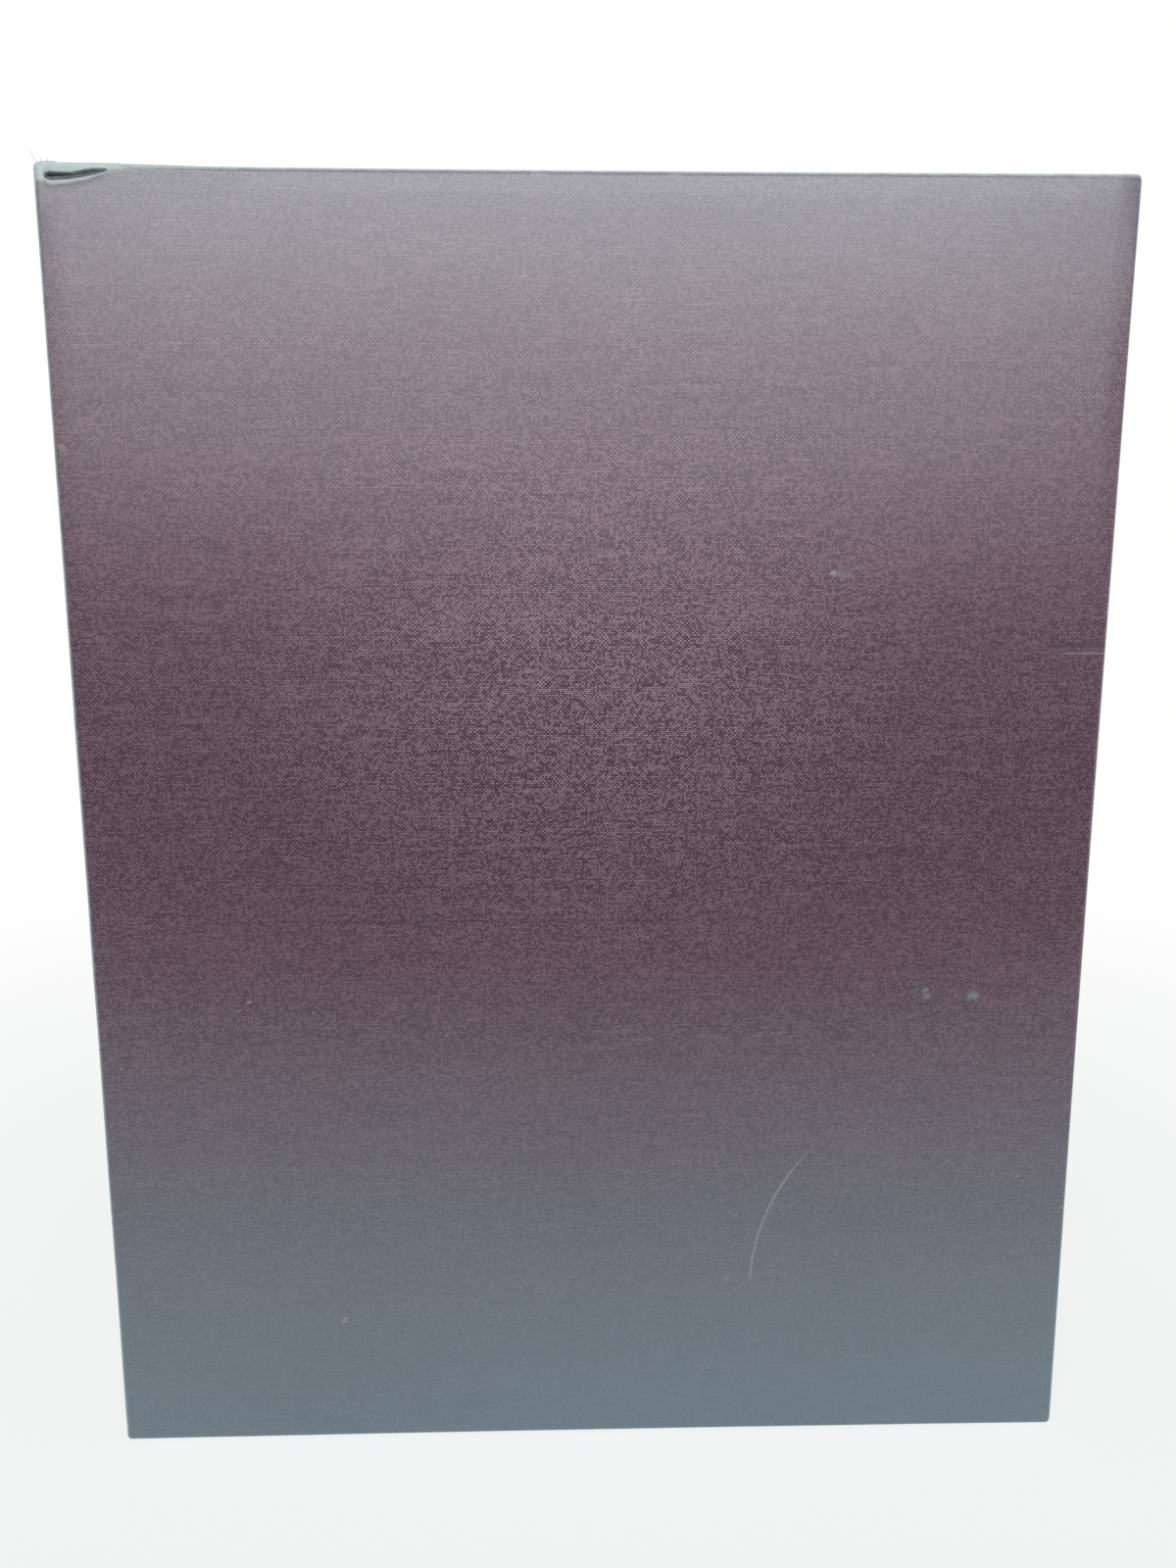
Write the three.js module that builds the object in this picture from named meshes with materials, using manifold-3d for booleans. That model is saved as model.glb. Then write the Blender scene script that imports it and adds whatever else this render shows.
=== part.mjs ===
// A cloth-covered slipcase for one large book, standing upright on its tail.
// Five binder's boards form a box that is open along one side, the mouth.
// One sheet of book cloth wraps the boards, folds over the head and the tail, and turns in round the mouth.
// Paper lines each board on the inside.
// Millimetres. X runs from the closed edge to the mouth, Y from the front board to the rear board, Z up.
// The origin is at the middle of the base.

import * as THREE from "three";
import { RoundedBoxGeometry } from "three/addons/geometries/RoundedBoxGeometry.js";
import { mergeVertices } from "three/addons/utils/BufferGeometryUtils.js";
import Module from "manifold-3d";

// Outside size of the covered case.
const WIDTH = 245; // closed edge to mouth
const DEPTH = 45; // front face to rear face
const HEIGHT = 312; // tail to the flaps on the head

// Sheets and boards.
const BOARD = 2.5; // thickness of the binder's board
const CLOTH = 0.5; // thickness of one layer of cloth
const LINING = 0.25; // thickness of the lining paper
const PASTE = 0.05; // film between glued layers and at the boards' butt joints

// How the cloth is cut and folded.
const TURN_IN = 15; // cloth turned in over the boards' edges at the mouth
const FLAP_SETBACK = 3; // free edge of the front panel's flaps, short of the rear face
const TAB_LENGTH = 19; // tab of the closed edge, folded down last over the head
const EDGE_ROUND = 1.25; // cloth drawn over a board's arris
const RIM_ROUND = 1; // inner arris of the mouth

// The gaping fold under the tab, at the front corner of the head and the closed edge.
const GAPE_START = 2.6; // from the closed edge to the blunt end of the gap
const GAPE_END = 16.5; // from the closed edge to the pointed end of the gap
const GAPE_TOP = 0.9; // head to the gap's upper lip, at the blunt end
const GAPE_BOTTOM = 2.55; // head to the gap's lower lip, at the blunt end
const GAPE_TIP = 0.35; // head to the pointed end
const GAPE_DEPTH = 2; // how far the gap runs in from the front face
const EAR_REACH = 43; // how far along the head the unglued ear lifts
const EAR_WIDTH = 11; // how far back from the front face it lifts
const EAR_RISE = 1.4; // how high it lifts over the flaps

// How finely round forms are divided.
const ARC_STEPS = 3;
const EAR_SEGMENTS = 32;
const EAR_RINGS = 16;
const OVERCUT = 2; // how far a cutting solid runs past what it cuts

const wasm = await Module();
wasm.setup();

// Spaces are boxes given by their low and high limits along each axis.
function space(x, y, z) {
  return { x, y, z };
}

function grown(inner, dx, dy, dz) {
  return space(
    [inner.x[0] - dx, inner.x[1] + dx],
    [inner.y[0] - dy, inner.y[1] + dy],
    [inner.z[0] - dz, inner.z[1] + dz],
  );
}

function sizeOf(range) {
  return range[1] - range[0];
}

function middleOf(range) {
  return (range[0] + range[1]) / 2;
}

function moveInto(geometry, box) {
  return geometry.translate(middleOf(box.x), middleOf(box.y), middleOf(box.z));
}

// A closed geometry as a solid that can be joined and cut.
function solid(geometry) {
  const bare = geometry.clone();
  bare.deleteAttribute("normal");
  bare.deleteAttribute("uv");
  const merged = mergeVertices(bare, 1e-3);
  return new wasm.Manifold(
    new wasm.Mesh({
      numProp: 3,
      vertProperties: merged.getAttribute("position").array,
      triVerts: new Uint32Array(merged.index.array),
    }),
  );
}

function block(box) {
  return solid(moveInto(new THREE.BoxGeometry(sizeOf(box.x), sizeOf(box.y), sizeOf(box.z)), box));
}

function roundedBlock(box, radius) {
  const geometry = new RoundedBoxGeometry(
    sizeOf(box.x),
    sizeOf(box.y),
    sizeOf(box.z),
    ARC_STEPS,
    radius,
  );
  return solid(moveInto(geometry, box));
}

function geometryOf(made) {
  const mesh = made.getMesh();
  const geometry = new THREE.BufferGeometry();
  geometry.setAttribute("position", new THREE.BufferAttribute(mesh.vertProperties, 3));
  geometry.setIndex(new THREE.BufferAttribute(mesh.triVerts, 1));
  geometry.computeVertexNormals();
  return geometry;
}

// The nested spaces of the case, from the outside in.
const outside = space([-WIDTH / 2, WIDTH / 2], [-DEPTH / 2, DEPTH / 2], [0, HEIGHT]);
// The head and the tail carry two layers of cloth, the rear panel's flap under the front panel's.
const underCloth = grown(outside, -CLOTH, -CLOTH, -2 * CLOTH);
const boards = grown(underCloth, -PASTE, -PASTE, -PASTE);
const boardRound = EDGE_ROUND - CLOTH - PASTE;
const betweenBoards = grown(boards, -BOARD, -BOARD, -BOARD);
const lined = grown(betweenBoards, -PASTE - LINING, -PASTE - LINING, -PASTE - LINING);
const turnedIn = grown(lined, -PASTE, -PASTE, -PASTE);
const clear = grown(turnedIn, -CLOTH, -CLOTH, -CLOTH);
const mouth = outside.x[1];

// The gap's outline, drawn on the front face and run in from it.
function gape(spare) {
  const left = outside.x[0];
  const head = outside.z[1];
  const start = left + GAPE_START - spare;
  const end = left + GAPE_END + spare;
  const top = head - GAPE_TOP + spare;
  const bottom = head - GAPE_BOTTOM - spare;
  const tip = head - GAPE_TIP;
  const middle = (start + end) / 2;
  const outline = new THREE.Shape();
  outline.moveTo(start, bottom);
  outline.bezierCurveTo(middle, bottom, middle, (bottom + tip) / 2, end, tip);
  outline.bezierCurveTo(middle, tip, middle, top, start, top);
  outline.closePath();
  const depth = GAPE_DEPTH + OVERCUT + spare;
  const geometry = new THREE.ExtrudeGeometry(outline, { depth, bevelEnabled: false });
  geometry.rotateX(Math.PI / 2);
  geometry.translate(0, outside.y[0] + GAPE_DEPTH + spare, 0);
  return solid(geometry);
}

// The ear of the tab, a low swelling of the cloth along the front of the head.
function ear() {
  const top = HEIGHT + EAR_RISE;
  const swelling = new THREE.SphereGeometry(1, EAR_SEGMENTS, EAR_RINGS);
  swelling.scale(EAR_REACH - GAPE_START, EAR_WIDTH, EAR_RISE + CLOTH);
  swelling.translate(outside.x[0] + GAPE_START, outside.y[0], HEIGHT - CLOTH);
  const bounds = space(outside.x, outside.y, [0, top]);
  const aboveBoards = space(outside.x, outside.y, [HEIGHT - CLOTH, top]);
  return solid(swelling).intersect(roundedBlock(bounds, EDGE_ROUND)).intersect(block(aboveBoards));
}

// The flaps' level surface, with the step at the free edge of the front panel's flaps.
function wrapping() {
  const stepped = space(
    [outside.x[0] - OVERCUT, outside.x[1] + OVERCUT],
    [outside.y[1] - FLAP_SETBACK, outside.y[1] + OVERCUT],
    [outside.z[0] - OVERCUT, outside.z[1] + OVERCUT],
  );
  const frontFlaps = roundedBlock(outside, EDGE_ROUND).subtract(block(stepped));
  const rearFlaps = roundedBlock(grown(outside, 0, 0, -CLOTH), EDGE_ROUND);
  return frontFlaps.add(rearFlaps);
}

// The closed edge's tab on top of the flaps.
function tab() {
  const raised = space(outside.x, outside.y, [outside.z[0], outside.z[1] + CLOTH]);
  const end = space(
    [outside.x[0] - OVERCUT, outside.x[0] + TAB_LENGTH],
    [outside.y[0] - OVERCUT, outside.y[1] + OVERCUT],
    [outside.z[1] - 2 * CLOTH, outside.z[1] + OVERCUT],
  );
  return roundedBlock(raised, EDGE_ROUND).intersect(block(end));
}

// The opening that the book slides through, with its arris rounded.
function mouthOpening() {
  const width = sizeOf(clear.y);
  const height = sizeOf(clear.z);
  const outline = new THREE.Shape();
  outline.moveTo(-width / 2, -height / 2);
  outline.lineTo(width / 2, -height / 2);
  outline.lineTo(width / 2, height / 2);
  outline.lineTo(-width / 2, height / 2);
  outline.closePath();
  const flare = new THREE.ExtrudeGeometry(outline, {
    depth: TURN_IN,
    bevelSegments: 2 * ARC_STEPS,
    bevelThickness: RIM_ROUND,
    bevelSize: -RIM_ROUND,
    bevelOffset: RIM_ROUND,
  });
  // The outline's width turns to Y and its depth to X.
  flare.rotateX(Math.PI / 2);
  flare.rotateZ(Math.PI / 2);
  flare.translate(mouth - RIM_ROUND - TURN_IN, middleOf(clear.y), middleOf(clear.z));
  const through = space([mouth - TURN_IN - OVERCUT, mouth + OVERCUT], clear.y, clear.z);
  const beyond = space([mouth - TURN_IN / 2, mouth + OVERCUT], outside.y, outside.z);
  return solid(flare).intersect(block(beyond)).add(block(through));
}

function coverCloth() {
  const turnIns = space([mouth - TURN_IN, mouth], turnedIn.y, turnedIn.z);
  const boardSpace = roundedBlock(underCloth, EDGE_ROUND - CLOTH).subtract(block(turnIns));
  return wrapping()
    .add(tab())
    .add(ear())
    .subtract(boardSpace)
    .subtract(mouthOpening())
    .subtract(gape(0));
}

// A board is a slab with its outer arrises eased, so that the cloth draws over them.
function board(box) {
  return block(box).intersect(roundedBlock(boards, boardRound));
}

const between = [betweenBoards.y[0] + PASTE, betweenBoards.y[1] - PASTE];
const alongStrips = [betweenBoards.x[0] + PASTE, boards.x[1]];

function frontBoard() {
  const slab = board(space(boards.x, [boards.y[0], betweenBoards.y[0]], boards.z));
  // The corner behind the gap is bruised back, which is what lets the cloth gape.
  return slab.subtract(gape(PASTE));
}

const rearBoard = () => board(space(boards.x, [betweenBoards.y[1], boards.y[1]], boards.z));
const closedEdgeBoard = () => board(space([boards.x[0], betweenBoards.x[0]], between, boards.z));
const headBoard = () => board(space(alongStrips, between, [betweenBoards.z[1], boards.z[1]]));
const tailBoard = () => board(space(alongStrips, between, [boards.z[0], betweenBoards.z[0]]));

// The lining papers cover the boards' inner faces out to the mouth, under the turned-in cloth.
const papered = grown(betweenBoards, -PASTE, -PASTE, -PASTE);
const paperLength = [papered.x[0], boards.x[1]];
const clearOfPapers = [lined.y[0] + PASTE, lined.y[1] - PASTE];
const clearOfEnd = [lined.x[0] + PASTE, boards.x[1]];

const frontLining = () => block(space(paperLength, [papered.y[0], lined.y[0]], papered.z));
const rearLining = () => block(space(paperLength, [lined.y[1], papered.y[1]], papered.z));
const closedEdgeLining = () => block(space([papered.x[0], lined.x[0]], clearOfPapers, papered.z));
const headLining = () => block(space(clearOfEnd, clearOfPapers, [lined.z[1], papered.z[1]]));
const tailLining = () => block(space(clearOfEnd, clearOfPapers, [papered.z[0], lined.z[0]]));

const bookCloth = { color: 0x5a3f47, roughness: 0.72, metalness: 0 };
const greyBoard = { color: 0x8f8674, roughness: 0.92, metalness: 0 };
const liningPaper = { color: 0xc9bfae, roughness: 0.88, metalness: 0 };

function piece(name, made, finish) {
  const mesh = new THREE.Mesh(geometryOf(made), new THREE.MeshStandardMaterial(finish));
  mesh.name = name;
  return mesh;
}

const slipcase = new THREE.Group();
slipcase.add(piece("front_board", frontBoard(), greyBoard));
slipcase.add(piece("rear_board", rearBoard(), greyBoard));
slipcase.add(piece("closed_edge_board", closedEdgeBoard(), greyBoard));
slipcase.add(piece("head_board", headBoard(), greyBoard));
slipcase.add(piece("tail_board", tailBoard(), greyBoard));
slipcase.add(piece("front_lining", frontLining(), liningPaper));
slipcase.add(piece("rear_lining", rearLining(), liningPaper));
slipcase.add(piece("closed_edge_lining", closedEdgeLining(), liningPaper));
slipcase.add(piece("head_lining", headLining(), liningPaper));
slipcase.add(piece("tail_lining", tailLining(), liningPaper));
slipcase.add(piece("cover_cloth", coverCloth(), bookCloth));

export default slipcase;
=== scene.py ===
import math

import bmesh
import bpy
from mathutils import Euler, Matrix, Vector, noise


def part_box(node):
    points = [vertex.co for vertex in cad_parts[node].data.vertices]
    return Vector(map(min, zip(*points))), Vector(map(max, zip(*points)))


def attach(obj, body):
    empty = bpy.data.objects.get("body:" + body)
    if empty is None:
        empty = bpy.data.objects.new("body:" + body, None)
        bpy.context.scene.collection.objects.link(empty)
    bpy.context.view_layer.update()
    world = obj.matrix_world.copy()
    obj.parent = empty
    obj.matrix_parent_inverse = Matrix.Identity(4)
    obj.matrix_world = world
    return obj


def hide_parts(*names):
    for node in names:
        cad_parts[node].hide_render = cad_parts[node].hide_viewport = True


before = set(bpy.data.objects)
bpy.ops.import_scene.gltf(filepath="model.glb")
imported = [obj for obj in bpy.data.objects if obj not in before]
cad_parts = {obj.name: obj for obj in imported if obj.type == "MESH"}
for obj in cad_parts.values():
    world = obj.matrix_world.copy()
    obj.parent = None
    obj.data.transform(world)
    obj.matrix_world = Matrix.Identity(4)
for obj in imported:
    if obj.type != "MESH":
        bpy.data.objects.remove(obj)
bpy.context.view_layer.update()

bl_info = {
    "name": "Cloth-covered slipcase",
    "version": (1, 0, 0),
    "blender": (4, 5, 0),
    "location": "3D Viewport > Sidebar > Slipcase",
    "description": "Dresses a box of boards in worn book cloth and lining paper",
    "category": "Object",
}

# Places that the frame gives, in metres.
CLOTH_LOW, CLOTH_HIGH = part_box("cover_cloth")
BOARD_LOW, BOARD_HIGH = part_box("front_board")
STRIP_LOW, STRIP_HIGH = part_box("head_board")
LEFT, RIGHT = CLOTH_LOW.x, CLOTH_HIGH.x
FRONT, REAR = CLOTH_LOW.y, CLOTH_HIGH.y
TAIL = CLOTH_LOW.z
HEAD = STRIP_HIGH.z + (BOARD_LOW.z - TAIL)
MM = 0.001
WIDTH, DEPTH, HEIGHT = RIGHT - LEFT, REAR - FRONT, HEAD - TAIL


# Settings that a user would change


class SlipcaseClothSettings(bpy.types.PropertyGroup):
    thickness: bpy.props.FloatProperty(
        name="Cloth thickness",
        description="Thickness of one layer of book cloth",
        default=0.5 * MM,
        min=0.1 * MM,
        unit="LENGTH",
    )
    edge_round: bpy.props.FloatProperty(
        name="Edge round",
        description="Radius of the cloth drawn over a board's edge",
        default=1.25 * MM,
        unit="LENGTH",
    )
    rim_round: bpy.props.FloatProperty(
        name="Rim round",
        description="Radius of the inner edge of the mouth",
        default=1.0 * MM,
        unit="LENGTH",
    )
    turn_in: bpy.props.FloatProperty(
        name="Turn-in",
        description="Cloth turned in at the mouth",
        default=15 * MM,
        unit="LENGTH",
    )
    flap_setback: bpy.props.FloatProperty(
        name="Flap setback",
        description="Free edge of the front panel's flaps, short of the rear face",
        default=3 * MM,
        unit="LENGTH",
    )
    tab_length: bpy.props.FloatProperty(
        name="Tab length",
        description="Tab of the closed edge, folded down last over the head",
        default=19 * MM,
        unit="LENGTH",
    )
    thread_pitch: bpy.props.FloatProperty(
        name="Thread pitch",
        description="Distance between neighbouring threads",
        default=0.455 * MM,
        unit="LENGTH",
    )
    colour: bpy.props.FloatVectorProperty(
        name="Cloth colour",
        description="Colour of the dyed cloth",
        subtype="COLOR",
        default=(0.080, 0.022, 0.046),
    )
    # The rubbed colour is partly pale rubbed cloth and partly painted glints on the thread crowns.
    crown_wear_and_glint_colour: bpy.props.FloatVectorProperty(
        name="Rubbed colour",
        description="Colour of the threads' crowns where handling has rubbed them pale",
        subtype="COLOR",
        default=(0.60, 0.375, 0.46),
    )
    # The gap colour is partly the dye between the threads and partly painted shade in those gaps.
    gap_dye_and_shade_colour: bpy.props.FloatVectorProperty(
        name="Gap colour",
        description="Colour of the dye down between the threads",
        subtype="COLOR",
        default=(0.050, 0.010, 0.028),
    )
    # The bloom colour is a painted reflection: the grey-blue gloss of the lamps and the pale floor towards
    # the head and the tail.
    painted_reflection_colour: bpy.props.FloatVectorProperty(
        name="Bloom colour",
        description="Colour of the grey bloom towards the head and the tail",
        subtype="COLOR",
        default=(0.235, 0.325, 0.400),
    )
    sheen: bpy.props.FloatProperty(
        name="Sheen",
        description="Strength of the cloth's pale sheen",
        default=0.4,
        min=0,
        max=1,
        subtype="FACTOR",
    )
    filler: bpy.props.FloatProperty(
        name="Starch filler",
        description="How far the starch filler glosses the cloth",
        default=1.0,
        min=0,
        max=1,
        subtype="FACTOR",
    )


class SlipcaseGapeSettings(bpy.types.PropertyGroup):
    start: bpy.props.FloatProperty(
        name="Gape start",
        description="From the closed edge to the blunt end of the gap",
        default=2.6 * MM,
        unit="LENGTH",
    )
    end: bpy.props.FloatProperty(
        name="Gape end",
        description="From the closed edge to the pointed end of the gap",
        default=16.5 * MM,
        unit="LENGTH",
    )
    top: bpy.props.FloatProperty(
        name="Upper lip",
        description="From the head down to the gap's upper lip",
        default=1.9 * MM,
        unit="LENGTH",
    )
    bottom: bpy.props.FloatProperty(
        name="Lower lip",
        description="From the head down to the gap's lower lip",
        default=3.7 * MM,
        unit="LENGTH",
    )
    tip: bpy.props.FloatProperty(
        name="Pointed end",
        description="From the head down to the pointed end",
        default=1.35 * MM,
        unit="LENGTH",
    )
    depth: bpy.props.FloatProperty(
        name="Gape depth",
        description="How far the gap runs in behind the front face",
        default=1.6 * MM,
        unit="LENGTH",
    )
    rise: bpy.props.FloatProperty(
        name="Ear rise",
        description="How high the unglued ear stands over the flaps",
        default=0.4 * MM,
        unit="LENGTH",
    )
    reach: bpy.props.FloatProperty(
        name="Ear reach",
        description="How far along the head the ear lifts",
        default=43 * MM,
        unit="LENGTH",
    )
    width: bpy.props.FloatProperty(
        name="Ear width",
        description="How far back from the front face the ear lifts",
        default=11 * MM,
        unit="LENGTH",
    )


class SlipcaseInsideSettings(bpy.types.PropertyGroup):
    paper_colour: bpy.props.FloatVectorProperty(
        name="Lining colour",
        description="Colour of the lining paper",
        subtype="COLOR",
        default=(0.58, 0.52, 0.42),
    )
    board_colour: bpy.props.FloatVectorProperty(
        name="Board colour",
        description="Colour of the binder's board",
        subtype="COLOR",
        default=(0.225, 0.232, 0.232),
    )


class SlipcaseStageSettings(bpy.types.PropertyGroup):
    floor_colour: bpy.props.FloatVectorProperty(
        name="Floor colour",
        description="Colour of the pale floor",
        subtype="COLOR",
        default=(0.84, 0.92, 0.93),
    )
    front_light: bpy.props.FloatProperty(
        name="Front softbox",
        description="Power of the wide softbox above the camera",
        default=5.8,
        unit="POWER",
    )
    level_light: bpy.props.FloatProperty(
        name="Level softbox",
        description="Power of the dimmer softbox just over the camera's height",
        default=1.45,
        unit="POWER",
    )
    top_light: bpy.props.FloatProperty(
        name="Top softbox",
        description="Power of the softbox overhead",
        default=2.0,
        unit="POWER",
    )
    surround: bpy.props.FloatProperty(
        name="Surround",
        description="Strength of the even light from all round",
        default=0.25,
        min=0,
    )


# Short calls for material nodes


class Graph:
    """The nodes of one procedural material, or of the world."""

    def __init__(self, owner):
        self.owner = owner
        owner.use_nodes = True
        self.tree = owner.node_tree
        self.tree.nodes.clear()

    def node(self, kind, feeds=None, **settings):
        made = self.tree.nodes.new(kind)
        for key, setting in settings.items():
            setattr(made, key, setting)
        for key, value in (feeds or {}).items():
            self.feed(made.inputs[key], value)
        return made

    def feed(self, socket, value):
        if isinstance(value, bpy.types.NodeSocket):
            self.tree.links.new(value, socket)
        else:
            socket.default_value = value

    def math(self, operation, *values):
        feeds = dict(enumerate(values))
        return self.node("ShaderNodeMath", feeds, operation=operation).outputs[0]

    def total(self, first, *others):
        for other in others:
            first = self.math("ADD", first, other)
        return first

    def product(self, first, *others):
        for other in others:
            first = self.math("MULTIPLY", first, other)
        return first

    def length(self, vector):
        return self.node("ShaderNodeVectorMath", {0: vector}, operation="LENGTH").outputs["Value"]

    def ramp(self, value, low, high, to_low=0.0, to_high=1.0):
        feeds = {"Value": value, "From Min": low, "From Max": high, "To Min": to_low, "To Max": to_high}
        return self.node("ShaderNodeMapRange", feeds, interpolation_type="SMOOTHSTEP").outputs[0]

    def mix(self, factor, first, second):
        made = self.node("ShaderNodeMix", data_type="RGBA")
        self.feed(made.inputs["Factor"], factor)
        self.feed(made.inputs[6], first)
        self.feed(made.inputs[7], second)
        return made.outputs[2]

    def blend(self, factor, first, second):
        made = self.node("ShaderNodeMix", data_type="FLOAT")
        self.feed(made.inputs["Factor"], factor)
        self.feed(made.inputs[2], first)
        self.feed(made.inputs[3], second)
        return made.outputs[0]

    def noise(self, vector, scale, detail=2.0, roughness=0.5):
        feeds = {"Vector": vector, "Scale": scale, "Detail": detail, "Roughness": roughness}
        return self.node("ShaderNodeTexNoise", feeds).outputs[0]

    def random(self, vector):
        return self.node("ShaderNodeTexWhiteNoise", {"Vector": vector}).outputs[0]

    def vector(self, x=0.0, y=0.0, z=0.0):
        return self.node("ShaderNodeCombineXYZ", {0: x, 1: y, 2: z}).outputs[0]

    def parts(self, vector):
        return self.node("ShaderNodeSeparateXYZ", {0: vector}).outputs

    def finish(self, feeds, height=None, relief=0.0):
        """Ends the material in a principled shader, with bump of this relief in metres."""
        shader = self.node("ShaderNodeBsdfPrincipled", feeds)
        if height is not None:
            bump = self.node("ShaderNodeBump", {"Height": height, "Distance": relief, "Strength": 1.0})
            self.feed(shader.inputs["Normal"], bump.outputs[0])
        output = self.node("ShaderNodeOutputMaterial")
        self.feed(output.inputs["Surface"], shader.outputs[0])
        return self.owner


def colour(value):
    return (*value, 1.0)


# Marks on the front face, in mm: places run along X from its middle, and up from the base

# Round grey-green stains: place, radius.
STAINS = (
    ((83.0, 121.2), 1.55),
    ((94.7, 120.5), 1.55),
    ((34.8, 44.3), 1.05),
)
# Small pale rubs: place, half length, half width, slant in degrees, strength.
RUBS = (
    ((56.0, 224.2), 0.85, 0.6, 0, 0.6),
    ((58.6, 224.0), 2.2, 0.9, 0, 0.2),
    ((-64.2, 34.1), 1.1, 0.55, 55, 0.6),
    ((-84.7, 120.4), 0.85, 0.35, 35, 0.6),
    ((-87.2, 118.2), 0.6, 0.25, 20, 0.4),
    ((-85.8, 107.6), 0.4, 0.3, 0, 0.5),
    ((36.7, 61.9), 0.55, 0.3, -20, 0.5),
    ((109.0, 71.6), 0.3, 0.3, 0, 0.6),
    ((13.9, 109.9), 0.8, 0.7, 0, 0.2),
    ((-120.3, 252.1), 0.9, 1.2, 60, 0.25),
    ((121.3, 63.0), 1.0, 0.35, 15, 0.5),
    ((-12.2, 310.7), 2.2, 0.5, 0, 0.3),
    ((18.2, 310.7), 1.8, 0.5, 0, 0.3),
)
# Level lines along a weft thread: first and last place along X, height, half width.
# The crease's pale line is partly worn cloth and partly a painted highlight on its ridge; the line just
# above it is painted shade; the dark weft is a darker thread.
CREASE = (110.8, 124.0, 205.5, 0.32)
CREASE_SHADE = (106.0, 124.0, 207.4, 1.1)
DARK_WEFT = (-96.6, 23.2, 140.6, 0.5)
RING_MIDDLE, RING_RADIUS = (89.6, 131.6), 1.0
# The curved scratch: the middle of its circle and the stretch of it that shows.
SCRATCH_MIDDLE = (96.6, 42.0)
SCRATCH_RADIUS = 56.0
SCRATCH_LOW, SCRATCH_HIGH = 42.0, 84.0
# The part of the face where the thread crowns are painted as glints, most in its middle: middle, half
# length, half width.
GLINT_ZONE = ((0.0, 200.0), 54.0, 47.0)
STAIN_TONE = (0.24, 0.31, 0.28, 1.0)
RING_TONE = (0.22, 0.14, 0.24, 1.0)
RUB_TONE = (0.46, 0.43, 0.44, 1.0)
SCRATCH_TONE = (0.42, 0.42, 0.42, 1.0)
# Painted shade just above the crease, and the colour of the darker weft thread.
CREASE_SHADE_AND_DARK_WEFT_TONE = (0.03, 0.015, 0.02, 1.0)
# Partly worn cloth and partly a painted highlight on the crease's ridge.
CREASE_WEAR_AND_HIGHLIGHT_TONE = (0.36, 0.32, 0.34, 1.0)
# Painted highlight on the loose thread ends.
NUB_HIGHLIGHT_TONE = (0.40, 0.30, 0.33, 1.0)
# Painted highlight: the pale surround reflected on the rounded arrises.
EDGE_HIGHLIGHT_TONE = (0.56, 0.67, 0.69, 1.0)
# Painted highlight on the lips of the gap.
LIP_HIGHLIGHT_TONE = (0.56, 0.64, 0.63, 1.0)


# The weave, in the cloth's own unrolled coordinates


def weave(graph, pitch):
    """The pattern of a plain weave, from the cloth's own map."""
    across, along, _ = graph.parts(graph.node("ShaderNodeUVMap", uv_map="cloth").outputs[0])
    # The threads lie closer here and looser there, and wander a little along their length.
    wander, stretch, wander_scale = 2.4, 0.05, 90.0
    warp_drift = graph.noise(graph.vector(across, graph.product(along, stretch)), wander_scale)
    weft_drift = graph.noise(graph.vector(graph.product(across, stretch), along), wander_scale)
    warp = graph.total(graph.math("DIVIDE", across, pitch), graph.product(warp_drift, wander))
    weft = graph.total(graph.math("DIVIDE", along, pitch), graph.product(weft_drift, wander))
    column, row = graph.math("FLOOR", warp), graph.math("FLOOR", weft)
    from_warp = graph.math("SUBTRACT", graph.math("FRACT", warp), 0.5)
    from_weft = graph.math("SUBTRACT", graph.math("FRACT", weft), 0.5)
    warp_over = graph.math("FLOORED_MODULO", graph.total(column, row), 2.0)
    warp_square = graph.product(from_warp, from_warp)
    weft_square = graph.product(from_weft, from_weft)
    # A crown falls away slowly along its thread and steeply across it.
    slow, steep = 1.3, 4.0
    fall = graph.total(
        graph.product(warp_square, graph.blend(warp_over, slow, steep)),
        graph.product(weft_square, graph.blend(warp_over, steep, slow)),
    )
    # Slubs: each thread is thicker and thinner along its length.
    slub_stretch, slub_scale = 0.12, 420.0
    weft_slub = graph.noise(graph.vector(graph.product(across, slub_stretch), row), slub_scale)
    warp_slub = graph.noise(graph.vector(column, graph.product(along, slub_stretch)), slub_scale)
    # Each crossing has its own tone, and shares a part of it with its run along the row.
    run_length, shared = 5.0, 0.25
    run_start = graph.product(graph.random(graph.vector(row, 7.0)), run_length)
    run = graph.math("FLOOR", graph.math("DIVIDE", graph.total(column, run_start), run_length))
    own_tone = graph.random(graph.vector(column, row))
    run_tone = graph.random(graph.vector(run, row, 2.0))
    return {
        "place": graph.vector(across, along),
        "crown": graph.math("SUBTRACT", 1.0, fall),
        "slub": graph.blend(warp_over, weft_slub, warp_slub),
        "crossing": graph.blend(shared, own_tone, run_tone),
        "row_tone": graph.random(graph.vector(row, 3.0)),
        "warp_over": warp_over,
        "bands": graph.noise(graph.vector(graph.product(across, 0.07), along), 330.0, 3.0, 0.6),
        "row_gap": graph.ramp(weft_square, 0.2, 0.03, 0.25, 1.0),
        "weft_slub": weft_slub,
    }


def oval(graph, face_place, middle, half_length, half_width, slant=0.0, soft=False):
    """1 inside an oval on the front face, 0 outside it."""
    feeds = {
        "Vector": face_place,
        "Location": (middle[0] * MM, middle[1] * MM, 0.0),
        "Rotation": (0.0, 0.0, math.radians(slant)),
        "Scale": (half_length * MM, half_width * MM, 1.0),
    }
    inside = graph.node("ShaderNodeMapping", feeds, vector_type="TEXTURE").outputs[0]
    outer, inner = (1.8, 0.0) if soft else (1.25, 0.55)
    return graph.ramp(graph.length(inside), outer, inner)


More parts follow.
